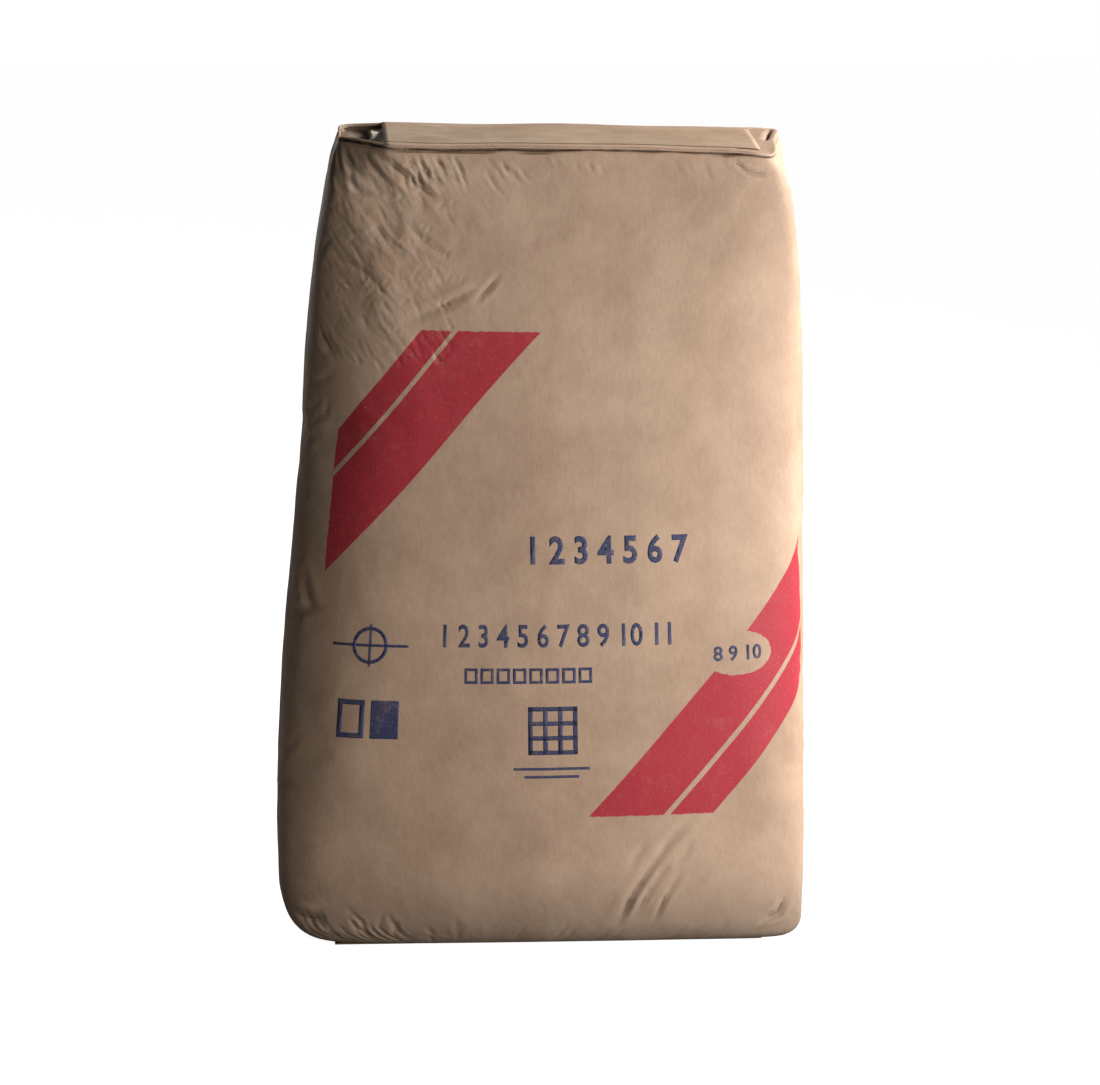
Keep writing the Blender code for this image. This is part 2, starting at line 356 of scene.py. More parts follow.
coarse = flat_sheet(SHEET_COLUMNS, SHEET_ROWS)
wrap_sheet(coarse)
tube = new_piece("paper_sack", coarse)
order = sheet_order(tube.data, SHEET_COLUMNS, SHEET_ROWS)
shaped = points_of(tube.data)
u_coarse, v_coarse = np.meshgrid(
    (np.arange(SHEET_COLUMNS) / SHEET_COLUMNS - 0.5) * SHEET_ROUND,
    np.linspace(0, SHEET_TALL, SHEET_ROWS + 1),
)
moved = (press_out(tube, order) - shaped)[order]
folds = moved - blurred(moved, FOLDS_FINER_THAN)
folds = 0.5 * folds + 0.5 * blurred(folds, 1)
folds *= fold_strength(u_coarse, v_coarse)[..., None]
longest = np.linalg.norm(folds, axis=2, keepdims=True)
folds *= np.minimum(1, DEEPEST_FOLD / np.maximum(longest, 1e-9))
shaped[order] += folds
set_points(tube.data, shaped)

finer = tube.modifiers.new("finer", "SUBSURF")
finer.levels = finer.render_levels = 1
finer.uv_smooth = "NONE"
fine_data = bpy.data.meshes.new_from_object(tube.evaluated_get(bpy.context.evaluated_depsgraph_get()))
tube.modifiers.remove(finer)
tube.data = fine_data

# Folds that the hand and the floor have pressed into the paper, on the flat sheet: their line, how
# deep they go and half their width.
PRESSED_FOLDS = (
    (((-0.158, 0.638), (-0.146, 0.633), (-0.1146, 0.6157), (-0.092, 0.604)), 0.0030, 0.0034),
    (((-0.188, 0.636), (-0.1745, 0.6240), (-0.164, 0.6190)), 0.0022, 0.0028),
    (((-0.172, 0.639), (-0.160, 0.6290), (-0.146, 0.6170)), 0.0016, 0.0026),
    (((-0.185, 0.622), (-0.174, 0.6120), (-0.162, 0.6080)), 0.0017, 0.0028),
    (((-0.128, 0.638), (-0.112, 0.6290), (-0.090, 0.6160)), 0.0013, 0.0026),
    (((-0.126, 0.514), (-0.098, 0.522), (-0.066, 0.536), (-0.034, 0.546)), 0.0011, 0.0036),
    (((-0.060, 0.529), (-0.046, 0.541), (-0.036, 0.553)), 0.0010, 0.0028),
    (((-0.192, 0.560), (-0.165, 0.548), (-0.145, 0.531)), 0.0014, 0.0036),
    (((-0.128, 0.588), (-0.105, 0.571), (-0.080, 0.563)), 0.0011, 0.0030),
    (((-0.160, 0.590), (-0.146, 0.572), (-0.128, 0.560)), 0.0012, 0.0030),
    (((0.158, 0.640), (0.168, 0.6335), (0.1790, 0.6325), (0.187, 0.637)), 0.0020, 0.0026),
    (((0.116, 0.117), (0.096, 0.096), (0.068, 0.054), (0.044, 0.012)), 0.0024, 0.0036),
    (((0.096, 0.078), (0.082, 0.058), (0.070, 0.034)), 0.0020, 0.0026),
    (((0.106, 0.070), (0.093, 0.048), (0.082, 0.024)), 0.0018, 0.0024),
    (((0.080, 0.070), (0.064, 0.044), (0.054, 0.022)), 0.0018, 0.0026),
    (((0.078, 0.096), (0.062, 0.074)), 0.0012, 0.0026),
    (((0.114, 0.094), (0.101, 0.074)), 0.0012, 0.0026),
    (((-0.215, 0.306), (-0.206, 0.290), (-0.198, 0.280)), 0.0030, 0.0050),
    (((-0.214, 0.500), (-0.203, 0.488), (-0.190, 0.484)), 0.0026, 0.0045),
    (((-0.204, 0.032), (-0.190, 0.030), (-0.176, 0.034)), 0.0040, 0.0050),
    (((0.174, 0.026), (0.184, 0.031), (0.190, 0.044)), 0.0032, 0.0034),
)


def fold_profile(distance, width):
    """A fold across its line: a sharp valley between two low banks."""
    near = np.abs(distance) / width
    return -np.exp(-1.25 * near) + 0.34 * np.exp(-(((near - 1.9) / 0.8) ** 2))


def pressed_fold(u, v, line, depth, width):
    """The height that one fold adds to the sheet. It fades towards both ends of its line."""
    line = np.array(line)
    lengths = lengths_along(line[:, 0], line[:, 1])
    best = np.full(u.shape, 1e9)
    share = np.zeros(u.shape)
    for a, b, travelled in zip(line, line[1:], lengths):
        side = b - a
        long = np.hypot(*side)
        t = np.clip(((u - a[0]) * side[0] + (v - a[1]) * side[1]) / long ** 2, 0, 1)
        far = np.hypot(u - a[0] - t * side[0], v - a[1] - t * side[1])
        closer = far < best
        best = np.where(closer, far, best)
        share = np.where(closer, (travelled + t * long) / lengths[-1], share)
    fade = step_up(share, -0.12, 0.25) * (1 - step_up(share, 0.55, 1.08))
    return depth * fade * fold_profile(best, width)


def random_folds(random, count, low, high, turn, length, depth, width):
    """Short folds scattered over a patch of the sheet, all lying about one way."""
    for _ in range(count):
        start = (random.uniform(low[0], high[0]), random.uniform(low[1], high[1]))
        lie = math.radians(turn + random.normal(0, 11))
        long = length * random.uniform(0.6, 1.3)
        bend = random.normal(0, 0.10) * long
        middle = (
            start[0] + 0.5 * long * math.cos(lie) - bend * math.sin(lie),
            start[1] + 0.5 * long * math.sin(lie) + bend * math.cos(lie),
        )
        end = (start[0] + long * math.cos(lie), start[1] + long * math.sin(lie))
        strength = random.uniform(0.5, 1.0)
        yield (start, middle, end), depth * strength, width * (0.7 + 0.5 * strength)


def crumpled(u, v, random, cell, stretch=1.0, turn=0.0):
    """Paper that was crumpled and smoothed again: flat facets between sharp bends, heights from -1 to 1."""
    turned = math.radians(turn)
    cos, sin = math.cos(turned), math.sin(turned)
    across = (u * cos + v * sin) / (cell * stretch)
    along = (-u * sin + v * cos) / cell
    low = np.floor([across.min() - 2, along.min() - 2]).astype(int)
    high = np.ceil([across.max() + 2, along.max() + 2]).astype(int)
    a, b = np.meshgrid(np.arange(low[0], high[0]), np.arange(low[1], high[1]))
    places = np.stack([a.ravel(), b.ravel()], 1) + random.uniform(-0.48, 0.48, (a.size, 2))
    tall = random.uniform(-1, 1, a.size)
    corners, _, facets, *_ = delaunay_2d_cdt([Vector(place) for place in places], [], [], 0, 0.0)
    by_along = np.argsort(along)
    across, along = across[by_along], along[by_along]
    found = np.zeros(u.shape)
    for i, j, k in facets:
        p, q, r = (np.array(corners[n]) for n in (i, j, k))
        spread = (q[1] - r[1]) * (p[0] - r[0]) + (r[0] - q[0]) * (p[1] - r[1])
        if abs(spread) < 1e-9:
            continue
        first, last = np.searchsorted(along, (min(p[1], q[1], r[1]), max(p[1], q[1], r[1])))
        near = first + np.nonzero(
            (across[first:last] >= min(p[0], q[0], r[0])) & (across[first:last] <= max(p[0], q[0], r[0]))
        )[0]
        s, t = across[near], along[near]
        one = ((q[1] - r[1]) * (s - r[0]) + (r[0] - q[0]) * (t - r[1])) / spread
        two = ((r[1] - p[1]) * (s - r[0]) + (p[0] - r[0]) * (t - r[1])) / spread
        inside = (one >= -1e-9) & (two >= -1e-9) & (one + two <= 1 + 1e-9)
        found[near[inside]] = (one * tall[i] + two * tall[j] + (1 - one - two) * tall[k])[inside]
    height = np.empty(u.shape)
    height[by_along] = found
    return height


FINE_COLUMNS = 2 * SHEET_COLUMNS
FINE_ROWS = 2 * SHEET_ROWS
order = sheet_order(tube.data, FINE_COLUMNS, FINE_ROWS)


def finer_where_crumpled(data):
    """Halves the cells where the paper has its small folds: by the valve, and along both ends."""
    mesh = bmesh.new()
    mesh.from_mesh(data)
    flat = mesh.loops.layers.uv["sheet"]
    edges = set()
    for face in mesh.faces:
        at = face.loops[0][flat].uv
        by_valve = at.y > 0.415 and -0.270 < at.x < 0.010
        if by_valve or at.y > 0.590 or at.y < 0.045:
            edges.update(face.edges)
    bmesh.ops.subdivide_edges(mesh, edges=list(edges), cuts=1, use_grid_fill=True)
    mesh.to_mesh(data)
    mesh.free()


def flat_places(data):
    """Where each vertex lies on the flat sheet."""
    corners, uv = flat_corners(data)
    found = np.zeros((len(data.vertices), 2))
    found[corners] = uv
    return found[:, 0], found[:, 1]


def normals_of(data):
    return read(data.vertex_normals, "vector", 3)


def curvature_of(data):
    """How sharply the paper bends at each vertex: above 0 on a ridge, below 0 in a hollow, per metre."""
    ends = read(data.edges, "vertices", 2).astype(int)
    at, out = points_of(data), normals_of(data)
    total, count = np.zeros(len(at)), np.zeros(len(at))
    for a, b in (ends.T, ends.T[::-1]):
        step = at[b] - at[a]
        bend = -2 * (step * out[a]).sum(axis=1) / np.maximum((step * step).sum(axis=1), 1e-12)
        total += np.bincount(a, bend, len(at))
        count += np.bincount(a, None, len(at))
    count = np.maximum(count, 1)
    sharp = total / count
    around = sum(np.bincount(a, sharp[b], len(at)) for a, b in (ends.T, ends.T[::-1]))
    return 0.5 * sharp + 0.5 * around / count


# Patches of the sheet with small folds: how many, from which corner to which, their turn in degrees,
# and how long, deep and wide they are.
SCATTERED_FOLDS = (
    # puckers hanging from the stiff top end, deepest near the valve
    (38, (-0.190, 0.626), (-0.010, 0.641), -47, 0.021, 0.0010, 0.0018),
    (9, (0.000, 0.634), (0.165, 0.641), -70, 0.012, 0.0005, 0.0020),
    (14, (-0.240, 0.634), (-0.200, 0.641), -75, 0.030, 0.0015, 0.0024),
    (10, (0.205, 0.632), (0.255, 0.640), -88, 0.030, 0.0012, 0.0024),
    (24, (0.27, 0.630), (0.47, 0.641), -85, 0.033, 0.0008, 0.0034),
    (24, (-0.47, 0.630), (-0.27, 0.641), -95, 0.035, 0.0008, 0.0034),
    # crinkles in the loose paper below the valve
    (130, (-0.215, 0.480), (-0.085, 0.634), -42, 0.017, 0.0005, 0.0016),
    (34, (-0.205, 0.480), (-0.070, 0.610), 40, 0.012, 0.0004, 0.0015),
    # gathers over the rounded bottom corner
    (20, (-0.205, 0.004), (-0.115, 0.014), 92, 0.026, 0.0012, 0.0019),
    (14, (-0.100, 0.004), (0.190, 0.016), 88, 0.016, 0.0006, 0.0022),
    (12, (0.20, 0.006), (0.46, 0.016), 92, 0.024, 0.0011, 0.0024),
    (14, (-0.46, 0.006), (-0.22, 0.016), 88, 0.024, 0.0011, 0.0024),
    # marks of handling on the narrow sides and the back
    (18, (-0.265, 0.100), (-0.215, 0.560), 20, 0.032, 0.0011, 0.0032),
    (12, (0.215, 0.080), (0.270, 0.560), -20, 0.030, 0.0010, 0.0036),
    (16, (0.29, 0.10), (0.45, 0.56), 35, 0.045, 0.0009, 0.0036),
    (16, (-0.45, 0.10), (-0.29, 0.56), -30, 0.045, 0.0009, 0.0036),
)

finer_where_crumpled(tube.data)
places = points_of(tube.data)
u, v = flat_places(tube.data)
random = np.random.default_rng(7)
relief = np.zeros(u.shape)
for line, depth, width in PRESSED_FOLDS:
    relief += pressed_fold(u, v, line, depth, width)
for patch in SCATTERED_FOLDS:
    for line, depth, width in random_folds(random, *patch):
        relief += pressed_fold(u, v, line, depth, width)
by_valve = bump(u, -0.150, 0.075) * bump(v, 0.585, 0.100)
near_edges = np.clip(bump(v, 0, 0.05) + bump(v, SHEET_TALL, 0.05) + bump(np.abs(u), 0.235, 0.035), 0, 1)
off_seam = 1 - step_up(np.abs(u), 0.470, 0.484)
relief += 0.00095 * by_valve * crumpled(u, v, random, 0.012, 1.9, -40)
relief += 0.00035 * by_valve * crumpled(u, v, random, 0.006, 1.5, -30)
relief += 0.00034 * (0.30 + near_edges) * off_seam * crumpled(u, v, random, 0.026, 1.4, 60)
relief += 0.00020 * (0.45 + near_edges) * off_seam * crumpled(u, v, random, 0.011)
relief *= step_up(v, 0.0, 0.010) * (1 - 0.8 * step_up(v, SHEET_TALL - 0.005, SHEET_TALL))
set_points(tube.data, places + relief[:, None] * normals_of(tube.data))
paper, paper_normals = points_of(tube.data)[order], normals_of(tube.data)[order]
for name, values in (
    ("bends", curvature_of(tube.data)),
    ("creased", np.clip(by_valve + 0.5 * near_edges, 0, 1)),
):
    tube.data.attributes.new(name, "FLOAT", "POINT").data.foreach_set("value", values.astype(np.float32))

# The folded top end.
# The tube's mouth is folded shut in a flat block: a tuck at each corner, then a flap from the back and
# one from the front. Its edge stands out stiffly over a groove in the soft wall.

VALVE_X = -0.1215                # left of this only the corner tuck is left, with the valve's mouth
MOUTH_UNDER = 0.007              # how far the mouth runs in under the flaps
GROOVE_RINGS = (                 # below the end face, and in from the edge: shoulder, groove, lid
    (0.0054, 0.0003),
    (0.0046, 0.0009),
    (0.0041, 0.0019),
    (0.0038, 0.0032),
    (0.0033, 0.0046),
    (0.0026, 0.0050),
    (0.0020, 0.0040),
    (0.0018, 0.0018),
    (0.0015, 0.0009),
    (0.0009, 0.0006),
    (0.0003, 0.0010),
    (0.0000, 0.0022),
)
LID = 0.0019                     # the rings above this are the stiff lid of pasted paper
# what the paper's material reads as bends: in the groove, on the lid's edge, on the shoulder, in the tuck
# the groove's and the tuck's values darken the paper's colour there: painted shade, with some dirt
GROOVE_SHADE_BENDS, LID_BENDS, SHOULDER_BENDS, TUCK_SHADE_BENDS = -400.0, 70.0, -60.0, -330.0
GROOVE_FROM = 0.0025             # a ring this far in lies in the groove
TUCK_SHADE_DEPTH = 0.006                # the tuck's painted shade is darkest where it lies this far down
CAP_STEPS = (0.022, 0.044, 0.066, 0.09, 0.12, 0.15, 0.20, 0.26, 0.33, 0.41, 0.50, 0.60, 0.72, 0.84, 0.95)
CAP_SPINE_IN = 0.045             # the end face closes on a line that stops this far from its ends
BASE_STEPS = (0.04, 0.10, 0.30, 0.60, 0.95)
BASE_SPINE = (-0.1347, 0.1547)


def end_height(x, y):
    """The top end face: it drops to the right, and isn't quite flat."""
    wave = 0.0005 * math.sin(31 * x + 0.6) + 0.0003 * math.sin(57 * x - 21 * y + 2.1)
    dish = -0.0010 * max(0.0, 1 - (y / 0.062) ** 2)
    return HEIGHT - END_SLOPE * x + wave + dish - 0.0012 + float(corner_pull(x, y)[2])


TUCK_CUT = (-0.1195, -0.0680)    # where the slantwise front edge of the tuck starts
TUCK_INWARD = Vector((0.0260, 0.0345)).normalized()
TUCK_DEEP = 0.0088


def rim_drop(x, y):
    """How far the left edge of the end sags between its two corners."""
    return 0.0052 * float(step_up(-x, 0.1280, 0.1500)) * math.exp(-(((y - 0.014) / 0.036) ** 4))


def tuck_drop(x, y):
    """How far the valve's corner tuck lies below the end face: it hangs hollow behind its own rim."""
    out = VALVE_X + MOUTH_UNDER - x
    if out <= 0:
        return 0.0
    from_cut = (x - TUCK_CUT[0]) * TUCK_INWARD.x + (y - TUCK_CUT[1]) * TUCK_INWARD.y
    hollow = float(step_up(min(from_cut, 1.5 * (0.068 - y)), 0.0018, 0.0115))
    shallower = 1 - 0.38 * float(step_up(-x, 0.1300, 0.1540))
    return max(min(1.0, out / 0.004) * TUCK_DEEP * hollow * shallower, rim_drop(x, y))


def right_slit(x, y):
    """How far the slit at the right end goes down, where the end's own corner tuck stands open."""
    edge = 0.1815 + float(corner_pull(0.1815, y)[0]) - 0.0050
    return 0.0045 * math.exp(-(((x - edge) / 0.0016) ** 2)) * math.exp(-(((y - 0.030) / 0.026) ** 4))


def end_outline(point, inward):
    """The direction out of the bag across its outline near the top end, and the point moved in."""
    left, right, half_depth, *_, squareness = wall_at(HEIGHT - FOLD_BELOW)
    x = (point.x - (left + right) / 2) / ((right - left) / 2)
    y = point.y / half_depth
    out = Vector((
        math.copysign(abs(x) ** (squareness - 1), x) / (right - left) * 2,
        math.copysign(abs(y) ** (squareness - 1), y) / half_depth,
        0.0,
    )).normalized()
    return point - out * inward


def draw_on(mesh, edges, place):
    """Extrudes an open loop of edges and puts each new vertex where place says. Returns the new loop."""
    drawn = bmesh.ops.extrude_edge_only(mesh, edges=edges)["geom"]
    for vert in (item for item in drawn if isinstance(item, bmesh.types.BMVert)):
        vert.co = place(vert.co.copy())
    return [item for item in drawn if isinstance(item, bmesh.types.BMEdge) and item.is_boundary]


def loop_verts(edges):
    return {vert for edge in edges for vert in edge.verts}


def close_face(mesh, edges, steps, spine, height, bends=None):
    """Draws the rim of an end face in to its middle line, by steps that are shares of the way."""
    layer = mesh.verts.layers.float["bends"]
    drawn_in = 0.0
    for share in steps:
        step = (share - drawn_in) / (1 - drawn_in)
        drawn_in = share

        def place(point):
            middle = Vector((min(max(point.x, spine[0]), spine[1]), 0.0, point.z))
            moved = point.lerp(middle, step)
            moved.z = height(moved.x, moved.y)
            return moved
        edges = draw_on(mesh, edges, place)
        for vert in loop_verts(edges) if bends else ():
            vert[layer] = bends(vert.co.x, vert.co.y)
    bmesh.ops.holes_fill(mesh, edges=edges, sides=0)


def groove_ring(x, y, below, inward):
    """The groove is deep on the left, uneven along the front, and nearly closed to the right."""
    uneven = 0.22 * math.sin(90 * x + 1.3) + 0.15 * math.sin(203 * x + 4.0)
    open_here = 1.0 + uneven - 0.62 * float(step_up(x, 0.000, 0.016)) if y < 0 else 0.7
    if below <= LID:
        return below, inward
    return LID + (below - LID) * (0.35 + 0.65 * open_here), inward * (0.4 + 0.6 * open_here)


def close_top(mesh, edges):
    """The groove, the lip and the end face inside it, drawn on from the wall's open edge."""
    bends = mesh.verts.layers.float["bends"]
    earlier = (FOLD_BELOW, 0.0)
    for ring in GROOVE_RINGS:
        def place(point):
            below, inward = groove_ring(point.x, point.y, *ring)
            moved = end_outline(point, inward - groove_ring(point.x, point.y, *earlier)[1])
            sag = rim_drop(moved.x, moved.y) * (1 - ring[0] / FOLD_BELOW)
            moved.z = end_height(moved.x, moved.y) - below - sag
            return moved
        edges = draw_on(mesh, edges, place)
        earlier = ring
        outside = LID_BENDS if ring[0] < LID else SHOULDER_BENDS
        # the groove's rings get a value that paints deep shade on the paper
        for vert in loop_verts(edges):
            vert[bends] = GROOVE_SHADE_BENDS if ring[1] > GROOVE_FROM else outside
    _, left, right, *_ = WALL_STATIONS[-1]
    close_face(
        mesh, edges, CAP_STEPS, (left + CAP_SPINE_IN, right - CAP_SPINE_IN),
        lambda x, y: end_height(x, y) - tuck_drop(x, y) - right_slit(x, y),
        # the tuck's value paints shade on the paper, darker the deeper it lies
        lambda x, y: TUCK_SHADE_BENDS * min(1.0, tuck_drop(x, y) / TUCK_SHADE_DEPTH),
    )


PLATE_CELL = 0.004


def paper_plate(mesh, low, high, cuts, height, thick):
    """A flat piece of paper from low to high with its ends cut off, laid at a height, and its thickness."""
    known = set(mesh.verts)
    across, along = high[0] - low[0], high[1] - low[1]
    place = Matrix.Translation(((low[0] + high[0]) / 2, (low[1] + high[1]) / 2, 0.0))
    verts = bmesh.ops.create_grid(
        mesh,
        x_segments=max(2, round(across / PLATE_CELL)),
        y_segments=max(2, round(along / PLATE_CELL)),
        size=0.5,
        matrix=place @ Matrix.Diagonal((across, along, 1.0, 1.0)),
    )["verts"]
    for point, out in cuts:
        faces = {face for vert in verts for face in vert.link_faces}
        edges = {edge for vert in verts for edge in vert.link_edges}
        bmesh.ops.bisect_plane(
            mesh,
            geom=[*verts, *edges, *faces],
            plane_co=(*point, 0.0),
            plane_no=(*out, 0.0),
            clear_outer=True,
        )
        verts = [vert for vert in mesh.verts if vert not in known]
    for vert in verts:
        vert.co.z = height(vert.co.x, vert.co.y)
    faces = list({face for vert in verts for face in vert.link_faces})
    bmesh.ops.recalc_face_normals(mesh, faces=faces)
    if sum(face.normal.z for face in faces) < 0:
        bmesh.ops.reverse_faces(mesh, faces=faces)
    bmesh.ops.solidify(mesh, geom=faces, thickness=-thick)


FLAP = 0.0004                    # the three plies together
FLAP_REACH = 0.012               # how far each flap passes the middle of the end
FOLD_EDGE = 0.0700               # where the flaps leave the folded edge
END_RIGHT = 0.1760
END_SLANT = 0.115                # the flaps' right end runs to the right towards the back


def pile_height(x, y, layer):
    """The height of a sheet in the pile on the end face: 1 front flap, 2 back flap, 3 cover strip."""
    plies = float(step_up(FOLD_EDGE - abs(y), 0.0, 0.007))
    if layer >= 2:
        plies += 1 - float(step_up(y, FLAP_REACH, FLAP_REACH + 0.003))
    if layer >= 3:
        plies += float(step_up(y, -FLAP_REACH - 0.003, -FLAP_REACH))
    return end_height(x, y) - 0.0003 + plies * FLAP


def lay_flap(mesh, side, layer):
    """A flap folded in from the front (side -1) or the back (1), its right end cut at 45 degrees."""
    low = (VALVE_X, -FOLD_EDGE if side < 0 else -FLAP_REACH)
    high = (END_RIGHT + 0.012, FLAP_REACH if side < 0 else FOLD_EDGE)
    corner = END_RIGHT + END_SLANT * side * FOLD_EDGE
    cuts = [
        ((END_RIGHT, 0.0), Vector((1.0, -END_SLANT)).normalized()),
        ((corner - 0.003, side * FOLD_EDGE), Vector((1.0, -side)).normalized()),
    ]
    paper_plate(mesh, low, high, cuts, lambda x, y: pile_height(x, y, layer), FLAP)


LAP_FROM = 0.484


def lay_lap(mesh):
    """The glued lap down the back: the tube's outer edge of paper, pasted over the inner one."""
    flat = mesh.loops.layers.uv["sheet"]
    faces = [
        face for face in mesh.faces
        if all(abs(loop[flat].uv.x) > LAP_FROM for loop in face.loops) and abs(face.normal.z) < 0.8
    ]
    copied = bmesh.ops.duplicate(mesh, geom=faces)["geom"]
    verts = [item for item in copied if isinstance(item, bmesh.types.BMVert)]
    for vert in verts:
        vert.co = vert.co + vert.normal * 0.00005
    faces = [item for item in copied if isinstance(item, bmesh.types.BMFace)]
    bmesh.ops.solidify(mesh, geom=faces, thickness=-FLAP)


skin = bmesh.new()
skin.from_mesh(tube.data)
lay_lap(skin)
open_edges = [edge for edge in skin.edges if edge.is_boundary]
top_edges = [edge for edge in open_edges if edge.verts[0].co.z > 0.5 * HEIGHT]
bottom_edges = [edge for edge in open_edges if edge.verts[0].co.z < 0.5 * HEIGHT]
close_top(skin, top_edges)
close_face(skin, bottom_edges, BASE_STEPS, BASE_SPINE, lambda x, y: BASE)
lay_flap(skin, -1, 1)
lay_flap(skin, 1, 2)
skin.to_mesh(tube.data)
skin.free()
tube.data.shade_smooth()


def give(tree, socket, value):
    """Links a value that comes from another node's socket, and sets any other."""
    if isinstance(value, bpy.types.NodeSocket):
        tree.links.new(value, socket)
    else:
        socket.default_value = value


def put(tree, kind, inputs=(), **settings):
    """Adds a node with its settings, and the values or links of its inputs."""
    node = tree.nodes.new("ShaderNode" + kind)
    for name, value in settings.items():
        setattr(node, name, value)
    for name, value in dict(inputs).items():
        give(tree, node.inputs[name], value)
    return node


def new_material(name, sockets=()):
    """A material with a bare Principled shader, whose plain values are set on its own sockets."""
    material = bpy.data.materials.new(name)
    material.use_nodes = True
    tree = material.node_tree
    tree.nodes.clear()
    shader = put(tree, "BsdfPrincipled", sockets)
    output = put(tree, "OutputMaterial")
    tree.links.new(shader.outputs["BSDF"], output.inputs["Surface"])
    return material, tree, shader


def new_group(name, inputs, outputs):
    """A node group with named inputs, given with their first values, and named outputs."""
    group = bpy.data.node_groups.new(name, "ShaderNodeTree")
    for socket, (kind, value) in inputs.items():
        made = group.interface.new_socket(socket, in_out="INPUT", socket_type="NodeSocket" + kind)
        made.default_value = value
    for socket, kind in outputs.items():
        group.interface.new_socket(socket, in_out="OUTPUT", socket_type="NodeSocket" + kind)
    given = group.nodes.new("NodeGroupInput")
    result = group.nodes.new("NodeGroupOutput")
    return group, given.outputs, result.inputs


def use_group(tree, group, inputs=()):
    node = tree.nodes.new("ShaderNodeGroup")
    node.node_tree = group
    for name, value in dict(inputs).items():
        give(tree, node.inputs[name], value)
    return node.outputs


def ramp(tree, value, low, high, to_low=0.0, to_high=1.0):
    """The value spread smoothly from low..high to to_low..to_high."""
    return put(tree, "MapRange", {
        "Value": value, "From Min": low, "From Max": high, "To Min": to_low, "To Max": to_high,
    }, interpolation_type="SMOOTHSTEP").outputs["Result"]


def sums(tree, operation, a, b):
    return put(tree, "Math", {0: a, 1: b}, operation=operation).outputs[0]


def plus(tree, a, b):
    return sums(tree, "ADD", a, b)


def minus(tree, a, b):
    return sums(tree, "SUBTRACT", a, b)


def times(tree, a, b):
    return sums(tree, "MULTIPLY", a, b)


def between(tree, value, low, high, soft):
    """1 where the value lies from low to high, with soft edges."""
    above = ramp(tree, value, low - soft, low + soft)
    return times(tree, above, ramp(tree, value, high + soft, high - soft))


def noise(tree, place, scale, detail=2.0, rough=0.5, stretch=None):
    """Noise on a place in metres; scale is how many waves go in a metre."""
    if stretch:
        place = put(tree, "Mapping", {"Vector": place, "Scale": stretch}).outputs["Vector"]
    made = put(tree, "TexNoise", {"Vector": place, "Scale": scale, "Detail": detail, "Roughness": rough})
    return made.outputs["Fac"]


def dress(tree, shader, colour, rough, height, strength, distance):
    """Gives a shader its colour, its roughness and a fine relief."""
    tree.links.new(colour, shader.inputs["Base Color"])
    tree.links.new(rough, shader.inputs["Roughness"])
    bumps = put(tree, "Bump", {"Height": height, "Strength": strength, "Distance": distance})
    tree.links.new(bumps.outputs["Normal"], shader.inputs["Normal"])


def mixed(tree, share, first, second):
    # the colour sockets of a Mix node are its inputs 6 and 7 and its output 2
    return put(tree, "Mix", {0: share, 6: first, 7: second}, data_type="RGBA").outputs[2]


def kraft_group():
    """Kraft paper: cloudy formation, long fibres with dark specks, and the fine tooth of the surface."""
    group, given, result = new_group(
        "kraft_fibres",
        {"Light": ("Color", (0.5, 0.35, 0.22, 1)), "Dark": ("Color", (0.35, 0.23, 0.14, 1))},
        {"Color": "Color", "Height": "Float", "Cloud": "Float"},
    )
    place = put(group, "TexCoord").outputs["Object"]
    cloud = noise(group, place, 26, 4, 0.6)
    patch = noise(group, place, 7.5, 2, 0.5)
    grain = noise(group, place, 420, 3, 0.65, stretch=(1.0, 1.0, 0.35))
    shade = ramp(group, cloud, 0.3, 0.7, -0.20, 0.20)
    shade = plus(group, shade, ramp(group, patch, 0.35, 0.65, -0.16, 0.16))
    shade = plus(group, shade, ramp(group, grain, 0.30, 0.70, 0.38, 0.62))
    colour = mixed(group, shade, given["Dark"], given["Light"])
    speck = put(group, "TexVoronoi", {"Vector": place, "Scale": 330.0}, feature="F1").outputs["Distance"]
    speck = ramp(group, speck, 0.16, 0.05)
    colour = mixed(group, times(group, speck, 0.35), colour, (0.11, 0.065, 0.035, 1))
    group.links.new(colour, result["Color"])
    tooth = noise(group, place, 900, 2, 0.6)
    cockle = noise(group, place, 75, 3, 0.55)
    height = plus(group, times(group, tooth, 0.10), times(group, cockle, 1.0))
    height = plus(group, height, times(group, grain, 0.12))
    group.links.new(height, result["Height"])
    group.links.new(cloud, result["Cloud"])
    return group


VALVE_MOUTH = (-0.135, -0.02, 0.640)
DUST_GREY = (0.45, 0.370, 0.275, 1)


def dust_group():
    """Cement dust: a grey film, thickest in the creases, by the valve and low on the foot."""
    group, given, result = new_group(
        "cement_dust",
        {"Color": ("Color", (0.4, 0.3, 0.2, 1)), "Amount": ("Float", 0.5), "Hollow": ("Float", 0.0)},
        {"Color": "Color", "Dust": "Float"},
    )
    place = put(group, "TexCoord").outputs["Object"]
    apart = put(group, "SeparateXYZ", {"Vector": place})
    foot = ramp(group, apart.outputs["Z"], 0.030, 0.0, 0.0, 0.5)
    from_valve = put(group, "VectorMath", {0: place, 1: VALVE_MOUTH}, operation="DISTANCE")
    valve = ramp(group, from_valve.outputs["Value"], 0.22, 0.03, 0.0, 0.6)
    where = sums(group, "MAXIMUM", foot, valve)
    where = plus(group, where, times(group, given["Hollow"], 0.6))
    patch = ramp(group, noise(group, place, 38, 5, 0.7), 0.42, 0.66)
    dust = times(group, times(group, where, patch), given["Amount"])
    dust = put(group, "Clamp", {"Value": dust, "Min": 0.0, "Max": 0.85}).outputs["Result"]
    group.links.new(mixed(group, dust, given["Color"], DUST_GREY), result["Color"])
    group.links.new(dust, result["Dust"])
    return group


